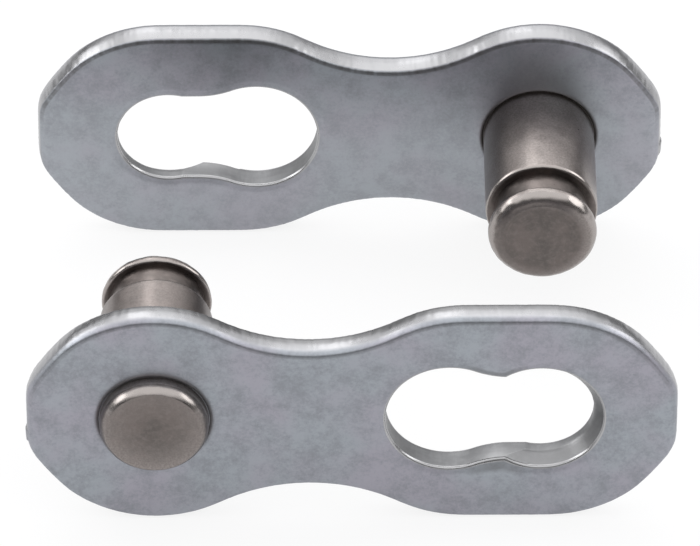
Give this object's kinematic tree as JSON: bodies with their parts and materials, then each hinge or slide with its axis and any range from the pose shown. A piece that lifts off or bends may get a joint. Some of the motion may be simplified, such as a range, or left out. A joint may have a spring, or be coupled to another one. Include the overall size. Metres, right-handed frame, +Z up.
{
  "type": "chain connecting link",
  "caption": "Connecting link that closes a bicycle roller chain: stamped outer plates with keyhole slots, each carrying a riveted, grooved pin, pulled apart along the pins.",
  "frame": {"origin": "centre of the bounding box's bottom, between the two halves", "axes": "+X along the chain, towards the rear half's pin; +Y along the pins, from the front half to the rear half; +Z up across the plates"},
  "size_m": [0.0214, 0.0176, 0.0084],
  "materials": {
    "plate_steel": "satin",
    "pin_steel": "satin"
  },
  "bodies": {
    "rear_half": {"rear_plate": "plate_steel", "rear_pin": "pin_steel"},
    "front_half": {"front_plate": "plate_steel", "front_pin": "pin_steel"}
  },
  "joints": [
    {"name": "halves_close", "type": "slide", "parent": "rear_half", "child": "front_half", "axis": [0.3083, 0.9513, 0], "range_m": [0, 0.01067]}
  ]
}
